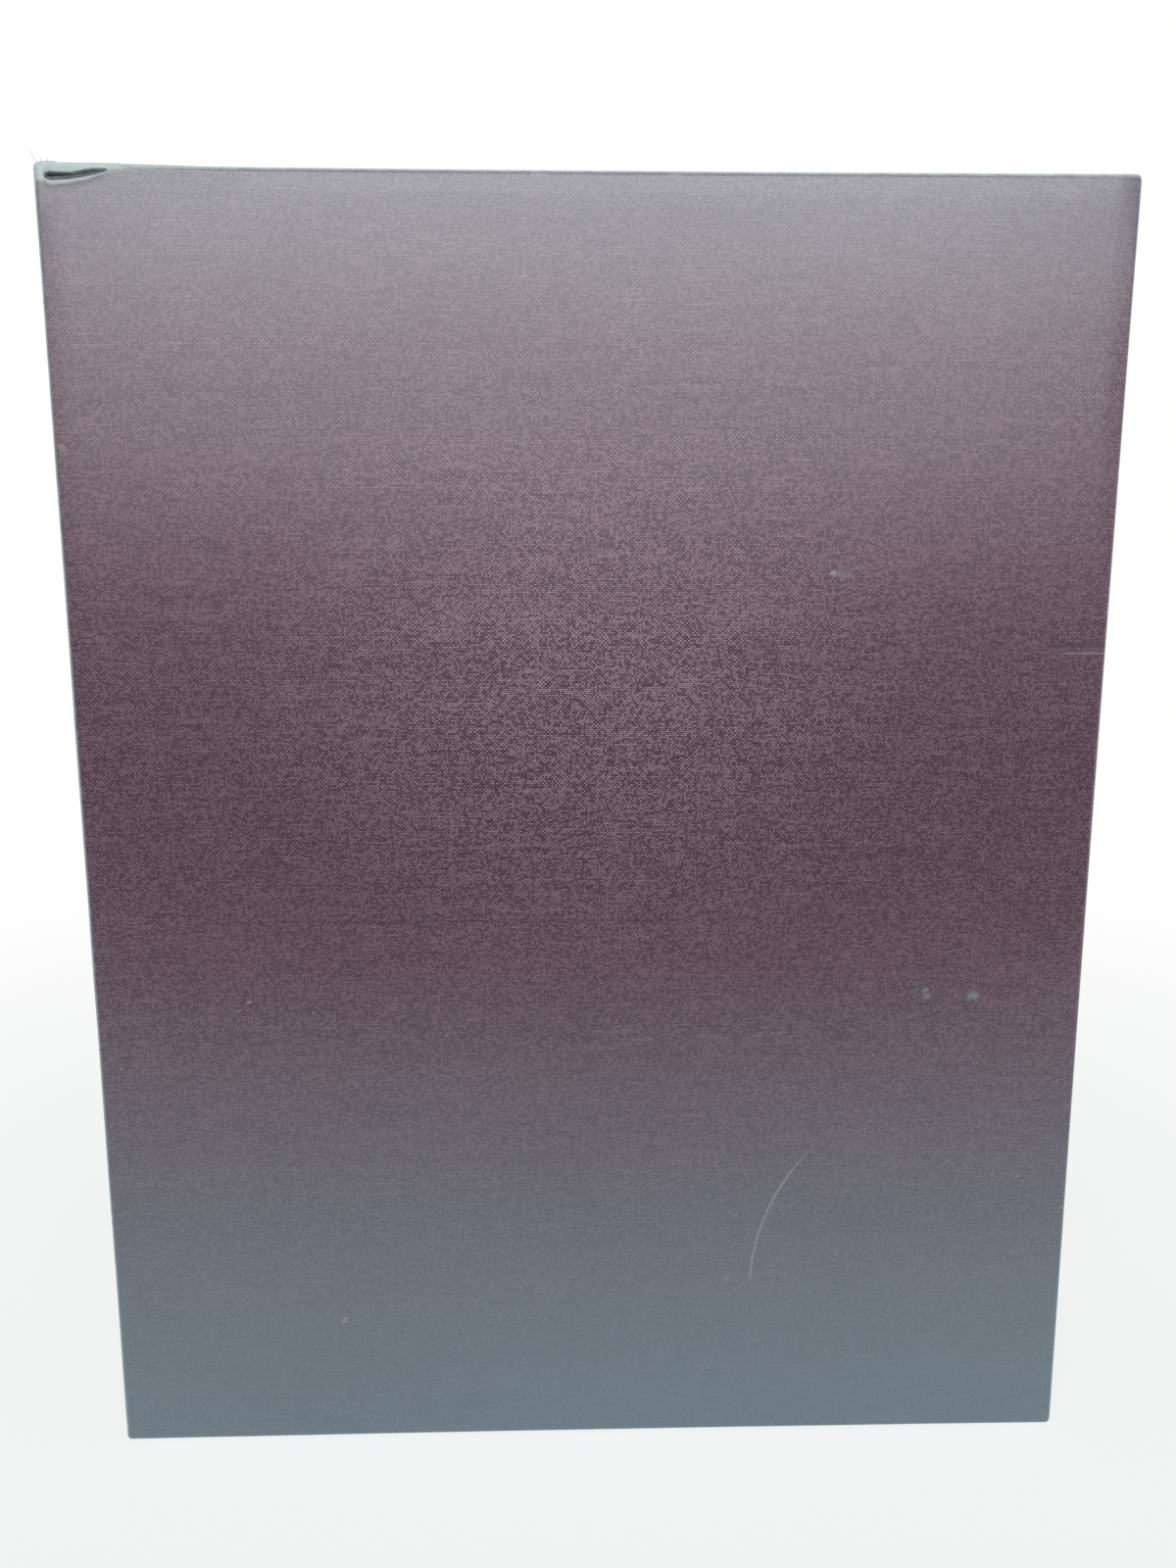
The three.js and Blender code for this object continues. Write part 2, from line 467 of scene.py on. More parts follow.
def ring_distance(graph, x, z, middle, radius):
    """Distance from a circle on the front face, and the place along X from its middle."""
    dx = graph.math("SUBTRACT", x, middle[0] * MM)
    dz = graph.math("SUBTRACT", z, middle[1] * MM)
    off = graph.math("SUBTRACT", graph.length(graph.vector(dx, dz)), radius * MM)
    return graph.math("ABSOLUTE", off), dx


def scratch(graph, x, z):
    """1 on the curved scratch, 0 off it."""
    off, dx = ring_distance(graph, x, z, SCRATCH_MIDDLE, SCRATCH_RADIUS)
    line = graph.ramp(off, 0.5 * MM, 0.1 * MM)
    low = graph.ramp(z, SCRATCH_LOW * MM, (SCRATCH_LOW + 4) * MM)
    high = graph.ramp(z, SCRATCH_HIGH * MM, (SCRATCH_HIGH - 14) * MM)
    left = graph.ramp(dx, 0.0, -1 * MM)
    return graph.product(line, left, low, high)


def level_line(graph, x, z, start, end, height, half_width):
    """1 on a level line of the front face, 0 off it."""
    off = graph.math("ABSOLUTE", graph.math("SUBTRACT", z, height * MM))
    line = graph.ramp(off, half_width * MM, 0.3 * half_width * MM)
    first = graph.ramp(x, start * MM, (start + 3) * MM)
    last = graph.ramp(x, end * MM, (end - 3) * MM)
    return graph.product(line, first, last)


def marks_of_use(graph, tone, x, z, object_place, on_front):
    """The cloth's tone with the stains, rubs, scratch and creases of the front face; the crease's pale
    line is partly worn cloth and partly painted highlight, with painted shade just above it.
    """
    face_place = graph.vector(x, z)
    stains = graph.total(*[oval(graph, face_place, middle, size, size) for middle, size in STAINS])
    mottle = graph.ramp(graph.noise(object_place, 900.0), 0.35, 0.6)
    tone = graph.mix(graph.product(stains, mottle, on_front, 0.85), tone, STAIN_TONE)
    ring = graph.ramp(ring_distance(graph, x, z, RING_MIDDLE, RING_RADIUS)[0], 0.4 * MM, 0.1 * MM)
    tone = graph.mix(graph.product(ring, on_front, 0.25), tone, RING_TONE)
    pale_marks = graph.total(*[graph.product(oval(graph, face_place, *rub[:4]), rub[4]) for rub in RUBS])
    tone = graph.mix(graph.product(pale_marks, on_front), tone, RUB_TONE)
    tone = graph.mix(graph.product(scratch(graph, x, z), on_front, 0.6), tone, SCRATCH_TONE)
    # Painted shade just above the crease, and the darker weft thread.
    shade = graph.total(
        graph.product(level_line(graph, x, z, *CREASE_SHADE), 0.35),
        graph.product(level_line(graph, x, z, *DARK_WEFT), 0.3),
    )
    tone = graph.mix(graph.product(shade, on_front), tone, CREASE_SHADE_AND_DARK_WEFT_TONE)
    # The crease's pale line: partly worn cloth, partly painted highlight.
    crease = graph.product(level_line(graph, x, z, *CREASE), on_front)
    return graph.mix(graph.product(crease, 0.55), tone, CREASE_WEAR_AND_HIGHLIGHT_TONE)


def thread_tone(graph, threads, settings, x, z, object_place, fading, crown_top):
    """The colour of the dyed threads, with their pale crowns, partly rubbed and partly painted glints, and
    the dark gaps between them, partly dye and partly painted shade.
    """
    blotches = graph.noise(object_place, 45.0, 3.0, 0.6)
    # Weft crowns are painted brighter than warp crowns, as rows of painted highlights along the weft.
    weft_crown = graph.ramp(threads["crossing"], 0.15, 0.85, 0.35, 1.3)
    warp_crown = graph.ramp(threads["crossing"], 0.2, 0.9, 0.0, 0.72)
    own = graph.total(
        graph.blend(threads["warp_over"], weft_crown, warp_crown),
        graph.product(graph.ramp(fading, 0.35, 0.7), 0.05),
        graph.product(graph.ramp(blotches, 0.4, 0.75), 0.07),
        graph.product(graph.ramp(threads["weft_slub"], 0.52, 0.74), 0.36),
        graph.product(graph.ramp(threads["weft_slub"], 0.48, 0.28), -0.16),
        graph.ramp(threads["bands"], 0.3, 0.7, -0.07, 0.07),
        graph.product(threads["row_tone"], 0.08),
        -0.14,
    )
    dyed, crown, gap = colour(settings.colour), colour(settings.crown_wear_and_glint_colour), colour(settings.gap_dye_and_shade_colour)
    pale = graph.math("MAXIMUM", graph.product(crown_top, own, threads["row_gap"]), 0.0)
    glinting_crowns = graph.mix(pale, gap, crown)
    # Painted shade darkens the gaps between the weft rows.
    row_gap_shade = graph.ramp(threads["row_gap"], 1.0, 0.25, 0.0, 0.5)
    even = graph.mix(row_gap_shade, graph.mix(graph.product(own, 0.22), dyed, crown), gap)
    # Painted glints: the crowns are painted pale and crisp most in the middle of the face, where a light
    # near the camera would catch them.
    glint_share = oval(graph, graph.vector(x, z), *GLINT_ZONE, soft=True)
    glint_share = graph.total(graph.product(glint_share, 0.74), 0.26)
    return graph.mix(glint_share, even, glinting_crowns)


def painted_reflection_veil(graph, z, fading, on_front):
    """How far the painted reflection covers the cloth: a grey-blue veil standing in for the gloss of the
    lamps and the pale floor, towards the head and the tail, most on the front.
    """
    low = graph.ramp(z, TAIL + HEIGHT * 0.43, TAIL - HEIGHT * 0.02)
    high = graph.ramp(z, TAIL + HEIGHT * 0.84, HEAD + HEIGHT * 0.02)
    low_share, high_share, hidden_share = 0.8, 0.29, 0.35
    veil = graph.total(graph.product(low, low_share), graph.product(high, high_share))
    uneven = graph.ramp(fading, 0.2, 0.8, 0.85, 1.0)
    return graph.product(veil, uneven, graph.blend(on_front, hidden_share, 1.0))


def nub_highlights(graph, place):
    """1 on the short ends of thread that are thinly scattered over the cloth, 0 off them; the ends are
    painted pale as the highlight that raised threads would catch.
    """
    scatter = graph.node("ShaderNodeTexVoronoi", {"Vector": place, "Scale": 150.0, "Randomness": 1.0})
    near = graph.ramp(scatter.outputs["Distance"], 0.07, 0.02)
    chosen = graph.ramp(graph.parts(scatter.outputs["Color"])[0], 0.8, 0.86)
    return graph.product(near, chosen)


def edge_highlights(graph, settings, x, y, z, object_place):
    """How far the arrises are painted pale as a highlight of the bright surround: most at the head and the
    closed edge, least at the tail.
    """
    radius = settings.edge_round
    pale_marks = graph.total(
        graph.product(graph.ramp(z, HEAD - radius * 0.95, HEAD - radius * 0.45), 0.75),
        graph.product(graph.ramp(x, LEFT + radius * 0.9, LEFT + radius * 0.35), 0.6),
        graph.product(graph.ramp(x, RIGHT - radius * 0.7, RIGHT - radius * 0.2), 0.3),
        graph.product(graph.ramp(z, TAIL + radius * 0.6, TAIL + radius * 0.1), 0.25),
    )
    near_front = graph.ramp(y, FRONT + radius * 2.2, FRONT + radius)
    patchy = graph.ramp(graph.noise(object_place, 260.0, 3.0, 0.6), 0.3, 0.62, 0.45, 1.0)
    pale_marks = graph.product(pale_marks, graph.blend(near_front, 0.15, 1.0), patchy)
    return graph.math("MINIMUM", pale_marks, 0.8)


def book_cloth(settings):
    graph = Graph(bpy.data.materials.new("worn_book_cloth"))
    threads = weave(graph, settings.thread_pitch)
    object_place = graph.node("ShaderNodeTexCoord").outputs["Object"]
    x, y, z = graph.parts(object_place)
    on_front = graph.ramp(y, FRONT + 1.2 * MM, FRONT + 0.6 * MM)
    fading = graph.noise(object_place, 9.0, 3.0)
    crown_top = graph.ramp(threads["crown"], 0.1, 0.85)

    tone = thread_tone(graph, threads, settings, x, z, object_place, fading, crown_top)
    # Painted reflection: a grey-blue veil towards the head and the tail.
    tone = graph.mix(painted_reflection_veil(graph, z, fading, on_front), tone, colour(settings.painted_reflection_colour))
    # Painted highlights on the scattered thread ends.
    tone = graph.mix(graph.product(nub_highlights(graph, threads["place"]), 0.8), tone, NUB_HIGHLIGHT_TONE)
    tone = marks_of_use(graph, tone, x, z, object_place, on_front)
    # Painted highlight along the rounded arrises.
    tone = graph.mix(edge_highlights(graph, settings, x, y, z, object_place), tone, EDGE_HIGHLIGHT_TONE)
    # Painted highlight on the lips of the gap at the gaping corner.
    lip = graph.node("ShaderNodeAttribute", attribute_name="lip_highlight").outputs["Fac"]
    tone = graph.mix(graph.product(lip, 0.8), tone, LIP_HIGHLIGHT_TONE)

    height = graph.total(graph.product(threads["crown"], 0.55), graph.product(threads["slub"], 0.9))
    relief = 0.14 * MM
    feeds = {
        "Base Color": tone,
        "Roughness": graph.ramp(crown_top, 0.0, 1.0, 0.62, 0.44),
        "IOR": 1.5,
        "Specular IOR Level": 0.15,
        "Coat Weight": settings.filler,
        "Coat Roughness": 0.30,
        "Coat IOR": 1.65,
        "Sheen Weight": settings.sheen,
        "Sheen Roughness": 0.5,
        "Sheen Tint": (0.45, 0.95, 1.0, 1.0),
    }
    return graph.finish(feeds, height, relief)


def lining_paper(settings):
    graph = Graph(bpy.data.materials.new("lining_paper"))
    place = graph.node("ShaderNodeTexCoord").outputs["Object"]
    fibres = graph.noise(place, 1800.0, 4.0, 0.65)
    clouds = graph.noise(place, 22.0, 3.0)
    foxing = graph.ramp(graph.noise(place, 60.0), 0.66, 0.74)
    dark_fibres = graph.ramp(fibres, 0.45, 0.3)
    base = settings.paper_colour
    aged = (base[0] * 0.83, base[1] * 0.76, base[2] * 0.66, 1.0)
    foxing_tone, fibre_tone = (0.36, 0.25, 0.14, 1.0), (0.40, 0.35, 0.27, 1.0)
    tone = graph.mix(graph.ramp(clouds, 0.3, 0.75), colour(base), aged)
    tone = graph.mix(graph.product(foxing, 0.3), tone, foxing_tone)
    tone = graph.mix(graph.product(dark_fibres, 0.25), tone, fibre_tone)
    roughness = graph.ramp(fibres, 0.3, 0.7, 0.8, 0.92)
    relief = 0.05 * MM
    return graph.finish({"Base Color": tone, "Roughness": roughness}, fibres, relief)


def binders_board(settings):
    graph = Graph(bpy.data.materials.new("binders_board"))
    place = graph.node("ShaderNodeTexCoord").outputs["Object"]
    flecks = graph.noise(place, 1300.0, 3.0, 0.7)
    base = settings.board_colour
    shade = 0.55
    dark = (base[0] * shade, base[1] * shade, base[2] * shade, 1.0)
    tone = graph.mix(graph.ramp(flecks, 0.62, 0.35), colour(base), dark)
    roughness = graph.ramp(flecks, 0.3, 0.7, 0.85, 0.95)
    relief = 0.08 * MM
    return graph.finish({"Base Color": tone, "Roughness": roughness}, flecks, relief)


# The cloth's shape

HEAD_SAG = 0.3 * MM
TAIL_LIFT = 0.3 * MM
MOUTH_PRESS = 0.42 * MM
EAR_LUMP = 0.3 * MM
LIP_ROLL = 0.14 * MM
LIP_HANG = 0.30 * MM


def step(value, low, high):
    """0 at low, 1 at high, with soft ends."""
    t = min(max((value - low) / (high - low), 0.0), 1.0)
    return t * t * (3 - 2 * t)


def spread(low, high, gap):
    """Places about this gap apart between two ends, without the ends."""
    count = max(1, round((high - low) / gap))
    return [low + (high - low) * i / count for i in range(1, count)]


def cut(bm, axis, places, within=None):
    """Cuts across an axis at each place, in the faces that lie within the given box."""
    for place in places:
        if within is None:
            faces = list(bm.faces)
        else:
            low, high = within
            faces = [
                f for f in bm.faces
                if all(low[i] <= c <= high[i] for i, c in enumerate(f.calc_center_median()))
            ]
        edges = {e for f in faces for e in f.edges}
        verts = {v for f in faces for v in f.verts}
        normal = Vector((0, 0, 0))
        normal[axis] = 1
        bmesh.ops.bisect_plane(
            bm,
            geom=[*verts, *edges, *faces],
            dist=1e-7,
            plane_co=normal * place,
            plane_no=normal,
        )


def lining_thickness():
    low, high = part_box("front_lining")
    return high.y - low.y


def turn_in_rim(bm, cloth, past_mouth):
    """Carries the cloth's edge round the mouth's rim and in over the lining."""
    film = BOARD_LOW.y - FRONT - cloth.thickness
    wall_y = (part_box("head_lining")[0].y - FRONT) + cloth.thickness
    wall_z = (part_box("front_lining")[0].z - TAIL) + lining_thickness() + film + cloth.thickness
    outer, inner, arcs = cloth.edge_round, cloth.rim_round, 5
    route = []
    for i in range(1, arcs + 1):
        angle = math.pi / 2 * i / arcs
        route.append((RIGHT - outer + outer * math.sin(angle), outer * (1 - math.cos(angle))))
    for i in range(arcs + 1):
        angle = math.pi / 2 * i / arcs
        route.append((RIGHT - inner + inner * math.cos(angle), wall_y - inner + inner * math.sin(angle)))
    inward_steps = 8
    for i in range(1, inward_steps + 1):
        route.append((RIGHT - inner - (cloth.turn_in - inner) * i / inward_steps, wall_y))

    loop = [e for e in bm.edges if e.is_boundary]
    middle = Vector((0, (FRONT + REAR) / 2, (TAIL + HEAD) / 2))
    last_x, last_inset, run = RIGHT - outer, 0.0, 0.0
    for x, inset in route:
        made = bmesh.ops.extrude_edge_only(bm, edges=loop)["geom"]
        verts = [g for g in made if isinstance(g, bmesh.types.BMVert)]
        fresh = set(verts)
        loop = [
            g for g in made
            if isinstance(g, bmesh.types.BMEdge) and all(v in fresh for v in g.verts)
        ]
        inset_z, last_z = inset * wall_z / wall_y, last_inset * wall_z / wall_y
        shrink = Vector((
            1,
            (DEPTH / 2 - inset) / (DEPTH / 2 - last_inset),
            (HEIGHT / 2 - inset_z) / (HEIGHT / 2 - last_z),
        ))
        bmesh.ops.scale(bm, verts=verts, vec=shrink, space=Matrix.Translation(-middle))
        bmesh.ops.translate(bm, verts=verts, vec=(x - last_x, 0, 0))
        run += math.hypot(x - last_x, inset - last_inset)
        for v in verts:
            v[past_mouth] = run
        last_x, last_inset = x, inset


def map_cloth(bm, cloth, past_mouth):
    """Gives each face its place on the unrolled cloth, so the threads run on round the folds."""
    layer = bm.loops.layers.uv.new("cloth")
    tab_end = LEFT + cloth.tab_length
    for face in bm.faces:
        centre, normal = face.calc_center_median(), face.normal
        flat_z = abs(normal.z) > 0.8
        inside = face.verts[0][past_mouth] > 0 or face.verts[2][past_mouth] > 0
        for loop in face.loops:
            x, y, z = loop.vert.co
            run = loop.vert[past_mouth]
            if inside:
                nearer_side = abs(centre.y) / DEPTH > abs(centre.z - HEAD / 2) / HEIGHT
                loop[layer].uv = (WIDTH + run, z if nearer_side else HEAD + y - FRONT)
            elif flat_z and centre.z > HEAD / 2 and centre.x < tab_end:
                loop[layer].uv = (FRONT - y, z + x - LEFT)
            elif flat_z and centre.z > HEAD / 2 and centre.y < REAR - cloth.flap_setback:
                loop[layer].uv = (x - LEFT, z + y - FRONT)
            elif flat_z and centre.z < HEAD / 2 and centre.y < REAR - cloth.flap_setback:
                loop[layer].uv = (x - LEFT, z - (y - FRONT))
            elif centre.y < 0 and normal.y < -0.2:
                loop[layer].uv = (x - LEFT - (y - FRONT), z)
            else:
                loop[layer].uv = (FRONT - y - (x - LEFT), z)


def gape_lips(gape, x):
    """The gap's upper and lower lip at this distance from the closed edge, below the head."""
    t = min(max((x - gape.start) / (gape.end - gape.start), 0.0), 1.0)
    sway, blunt_length = 0.2 * MM, 1.3 * MM
    upper = gape.top + sway * math.sin(math.pi * min(t / 0.8, 1.0))
    upper += (gape.tip - gape.top) * step(t, 0.4, 0.75)
    lower = gape.bottom + (gape.tip - gape.bottom) * (0.25 * t + 0.75 * t ** 2.6)
    # The blunt end is rounded.
    blunt = math.sqrt(min(1.0, max(0.0, (x - gape.start) / blunt_length)))
    middle = (upper + lower) / 2
    return middle + (upper - middle) * blunt, middle + (lower - middle) * blunt


def lip_highlight(co, gape):
    """1 just above and just below the gap, where the lips are painted pale as a highlight, 0 away from it.
    """
    from_closed, below_head = co.x - LEFT, HEAD - co.z
    far = gape.end + 6 * MM
    if co.y - FRONT > 1.5 * MM or not 0 < from_closed < far:
        return 0.0
    upper, lower = gape_lips(gape, from_closed)
    width = 0.75 * MM * step(from_closed, far, gape.start)
    under = below_head - lower
    below = step(under, -0.15 * MM, 0.1 * MM) * step(under, width + 0.5 * MM, width * 0.5)
    below *= step(from_closed, far, gape.end * 0.6)
    above = step(upper - below_head, -0.1 * MM, 0.3 * MM) * step(from_closed, far, gape.end)
    return min(below + above, 1.0)


def pressed_back(z):
    """How far the mouth's rim is pressed back at this height, between the corners."""
    return MOUTH_PRESS * (1 - (2 * (z - TAIL) / HEIGHT - 1) ** 2)


def settle(co, cloth, gape):
    """Moves a point of the smooth cover to where the worn cloth lies."""
    x, y, z = co
    from_closed, from_front = x - LEFT, y - FRONT
    below_head = HEAD - z
    at_head = step(below_head, 8 * MM, cloth.edge_round)
    at_tail = step(z - TAIL, 8 * MM, cloth.edge_round)
    on_front = step(from_front, 0.8 * MM, 0.2 * MM)
    moved = Vector(co)

    # Layers: the tab lies over the flaps, and the front panel's flaps lie over the rear panel's.
    if from_closed < cloth.tab_length:
        pasted = 0.2 + 0.8 * step(from_front, gape.width * 0.5, gape.width)
        moved.z += cloth.thickness * at_head * pasted
    if y > REAR - cloth.flap_setback:
        moved.z += cloth.thickness * (at_tail - at_head)

    # The head sags a little between its corners, and the tail's front edge is drawn up.
    bow = 1 - (2 * x / WIDTH) ** 2
    moved.z -= HEAD_SAG * bow * at_head
    moved.z += TAIL_LIFT * bow * at_tail * step(from_front, 6 * MM, 1 * MM)
    moved.x -= pressed_back(z) * step(x, RIGHT - 12 * MM, RIGHT - 1 * MM)

    # The unglued ear lifts along the front of the head.
    along = step(from_closed, gape.reach, gape.end * 0.9)
    back = step(from_front, gape.width, 1.5 * MM)
    lump = EAR_LUMP * step(from_closed, 6 * MM, 4 * MM) * step(from_closed, 1 * MM, 2.4 * MM)
    upper, lower = gape_lips(gape, from_closed)
    over_lip = max(0.0, 1 - below_head / max(upper, 0.3 * MM))
    past_gap = step(from_closed, gape.end - 2 * MM, gape.end + 3 * MM)
    over_lip += (step(below_head, 4 * MM, 0.0) - over_lip) * past_gap
    moved.z += (gape.rise * along + lump) * back * over_lip

    # The gap itself, its rolled lower lip and its overhanging upper lip.
    if gape.start < from_closed < gape.end and on_front > 0:
        height = lower - upper
        t = (lower - below_head) / max(height, 1e-6)
        ends = step(from_closed, gape.start, gape.start + 0.6 * MM)
        ends *= min(1.0, math.sqrt(max(0.0, (gape.end - from_closed) / (5 * MM))))
        if 0 < t < 1:
            wall = step(t, 0.0, 0.3) * step(t, 1.0, 0.85)
            moved.y += gape.depth * wall * ends
        lip = math.exp(-(((below_head - lower) - 0.2 * MM) / (0.9 * MM)) ** 2)
        moved.y -= LIP_ROLL * lip * ends
        hang = math.exp(-(((upper - below_head) - 0.25 * MM) / (0.5 * MM)) ** 2)
        moved.y -= LIP_HANG * hang * ends

    # The paste and the board's grain leave the cloth not quite flat.
    grain = Vector((x, y * 2, z))
    ripple = noise.noise(grain * 28) * 0.07 * MM
    ripple += noise.noise(grain * 110) * 0.025 * MM
    if abs(y) > DEPTH / 2 - 2 * MM:
        moved.y += ripple
    if x < LEFT + 2 * MM:
        moved.x += ripple
    return moved


def cover_mesh(cloth, gape):
    """The outer side of the cover: a box without its mouth, cut fine, turned in and settled."""
    bm = bmesh.new()
    past_mouth = bm.verts.layers.float.new("past_mouth")
    size = Vector((WIDTH - cloth.edge_round, DEPTH, HEIGHT))
    middle = Vector((LEFT + size.x / 2, (FRONT + REAR) / 2, TAIL + HEIGHT / 2))
    place = Matrix.Translation(middle) @ Matrix.Diagonal((*size, 1))
    bmesh.ops.create_cube(bm, size=1, matrix=place)
    bm.faces.ensure_lookup_table()
    mouth = [f for f in bm.faces if f.normal.x > 0.9]
    bmesh.ops.delete(bm, geom=mouth, context="FACES_ONLY")
    folds = [e for e in bm.edges if not e.is_boundary]
    bmesh.ops.bevel(
        bm,
        geom=folds,
        offset=cloth.edge_round,
        segments=6,
        profile=0.5,
        affect="EDGES",
        material=-1,
    )
    face_gap, depth_gap = 5 * MM, 3 * MM
    cut(bm, 0, spread(LEFT + cloth.edge_round, RIGHT - cloth.edge_round, face_gap))
    cut(bm, 1, spread(FRONT + cloth.edge_round, REAR - cloth.edge_round, depth_gap))
    cut(bm, 2, spread(TAIL + cloth.edge_round, HEAD - cloth.edge_round, face_gap))
    # Close pairs of cuts make the sharp steps at the flaps' and the tab's free edges.
    edge = 0.06 * MM
    cut(bm, 1, [REAR - cloth.flap_setback - edge, REAR - cloth.flap_setback])
    cut(bm, 0, [LEFT + cloth.tab_length - edge, LEFT + cloth.tab_length])
    # Finer cloth round the gaping corner.
    corner_low, fine_end = HEAD - 6 * MM, LEFT + gape.end + 3 * MM
    low = (LEFT - MM, FRONT - MM, corner_low)
    corner = (low, (LEFT + gape.reach, FRONT + gape.width, HEAD + MM))
    near = (low, (fine_end, FRONT + gape.width, HEAD + MM))
    cut(bm, 2, spread(corner_low, HEAD - cloth.edge_round, 0.2 * MM), corner)
    cut(bm, 0, spread(LEFT + cloth.edge_round, fine_end, 0.3 * MM), near)
    cut(bm, 0, spread(fine_end, LEFT + gape.reach, 1.5 * MM), corner)

    turn_in_rim(bm, cloth, past_mouth)
    bmesh.ops.recalc_face_normals(bm, faces=bm.faces)
    bm.normal_update()
    front_faces = [f for f in bm.faces if abs(f.calc_center_median().y - FRONT) < MM]
    front_face = max(front_faces, key=lambda f: f.calc_area())
    if front_face.normal.y > 0:
        bmesh.ops.reverse_faces(bm, faces=bm.faces)
        bm.normal_update()
    map_cloth(bm, cloth, past_mouth)
    lip = bm.verts.layers.float.new("lip_highlight")
    for v in bm.verts:
        v[lip] = lip_highlight(v.co, gape)
        if v[past_mouth] == 0:
            v.co = settle(v.co, cloth, gape)
        else:
            v.co.x -= pressed_back(v.co.z)
    for face in bm.faces:
        face.smooth = True
    return bm


def object_from(bm, name, material):
    mesh = bpy.data.meshes.new(name)
    bm.to_mesh(mesh)
    bm.free()
    made = bpy.data.objects.new(name, mesh)
    bpy.context.scene.collection.objects.link(made)
    mesh.materials.append(material)
    return made


def thread_along(bm, points, radius):
    """Draws a round thread through the points, thinning to its free end."""
    thin = 0.8
    start = Matrix.Translation(points[0])
    ring = bmesh.ops.create_circle(bm, cap_ends=True, radius=radius, segments=6, matrix=start)["verts"]
    loop = list({e for v in ring for e in v.link_edges})
    for i in range(1, len(points)):
        made = bmesh.ops.extrude_edge_only(bm, edges=loop)["geom"]
        verts = [g for g in made if isinstance(g, bmesh.types.BMVert)]
        fresh = set(verts)
        loop = [
            g for g in made
            if isinstance(g, bmesh.types.BMEdge) and all(v in fresh for v in g.verts)
        ]
        bmesh.ops.translate(bm, verts=verts, vec=points[i] - points[i - 1])
        place = Matrix.Translation(-points[i])
        bmesh.ops.scale(bm, verts=verts, vec=(thin, thin, thin), space=place)
    bmesh.ops.contextual_create(bm, geom=loop)


# Where each frayed thread leaves the corner, where it ends, and its radius, in mm.
# Places run from the closed edge, from the front and up from the head.
FRAYED_THREADS = (
    ((1.3, 1.2, 0.35), (-0.1, 0.6, 2.6), 0.07),
    ((2.0, 0.6, 0.3), (2.5, -0.1, 1.1), 0.05),
    ((3.4, 0.5, 0.25), (4.0, -0.3, 0.9), 0.05),
    ((0.5, 1.4, 0.05), (-0.6, 1.0, 0.5), 0.05),
)


class SLIPCASE_OT_threads(bpy.types.Operator):
    """Makes the frayed threads at the gaping corner"""

    bl_idname = "slipcase.threads"
    bl_label = "Frayed threads"

    def execute(self, context):
        bm = bmesh.new()
        corner = Vector((LEFT, FRONT, HEAD))
        count, bow = 5, 0.12
        for first, last, radius in FRAYED_THREADS:
            low, high = corner + Vector(first) * MM, corner + Vector(last) * MM
            bend = (high - low).cross(Vector((0, 1, 0))) * bow
            points = [
                low.lerp(high, i / count) + bend * math.sin(math.pi * i / count)
                for i in range(count + 1)
            ]
            thread_along(bm, points, radius * MM)
        bmesh.ops.recalc_face_normals(bm, faces=bm.faces)
        graph = Graph(bpy.data.materials.new("loose_thread"))
        place = graph.node("ShaderNodeTexCoord").outputs["Object"]
        twist = graph.noise(place, 2500.0)
        cloth = context.scene.slipcase_cloth
        tone = graph.mix(twist, colour(cloth.colour), colour(cloth.crown_wear_and_glint_colour))
        threads = object_from(bm, "frayed_threads", graph.finish({"Base Color": tone, "Roughness": 0.8}))
        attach(threads, "root")
        return {"FINISHED"}


class SLIPCASE_OT_cover(bpy.types.Operator):
    """Makes the worn book cloth that covers the boards"""

    bl_idname = "slipcase.cover"
    bl_label = "Book cloth"

    def execute(self, context):
        cloth, gape = context.scene.slipcase_cloth, context.scene.slipcase_gape
        cover = object_from(cover_mesh(cloth, gape), "worn_cover_cloth", book_cloth(cloth))
        body = cover.modifiers.new("cloth_body", "SOLIDIFY")
        body.thickness = cloth.thickness
        body.offset = -1
        body.use_even_offset = False
        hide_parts("cover_cloth")
        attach(cover, "root")
        return {"FINISHED"}


class SLIPCASE_OT_inside(bpy.types.Operator):
    """Finishes the boards and the lining papers"""

    bl_idname = "slipcase.inside"
    bl_label = "Boards and linings"

    def execute(self, context):
        inside = context.scene.slipcase_inside
        paper, board = lining_paper(inside), binders_board(inside)
        for name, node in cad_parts.items():
            if name.endswith("_lining"):
                node.data.materials.clear()
                node.data.materials.append(paper)
            elif name.endswith("_board"):
                node.data.materials.clear()
                node.data.materials.append(board)
        return {"FINISHED"}


# The stage


def background_seen(graph):
    """1 for the rays that show the background: straight, mirrored or let through."""
    rays = graph.node("ShaderNodeLightPath").outputs
    direct = graph.math("MAXIMUM", rays["Is Camera Ray"], rays["Is Glossy Ray"])
    return graph.math("MAXIMUM", direct, rays["Is Transmission Ray"])


def stage_material(settings):
    """The floor is pale where it is lit, keeps the object's shadow, and runs out to white."""
    graph = Graph(bpy.data.materials.new("pale_floor"))
    place = graph.node("ShaderNodeTexCoord").outputs["Object"]
    far = graph.ramp(graph.length(place), 0.12, 0.7, 0.8, 1.0)
    lit = graph.node("ShaderNodeBsdfDiffuse", {"Color": colour(settings.floor_colour)}).outputs[0]
    white = graph.node("ShaderNodeEmission", {"Color": (1, 1, 1, 1), "Strength": 1.0}).outputs[0]
    share = graph.product(far, background_seen(graph))
    mixed = graph.node("ShaderNodeMixShader", {0: share, 1: lit, 2: white}).outputs[0]
    output = graph.node("ShaderNodeOutputMaterial")
    graph.feed(output.inputs["Surface"], mixed)
    return graph.owner


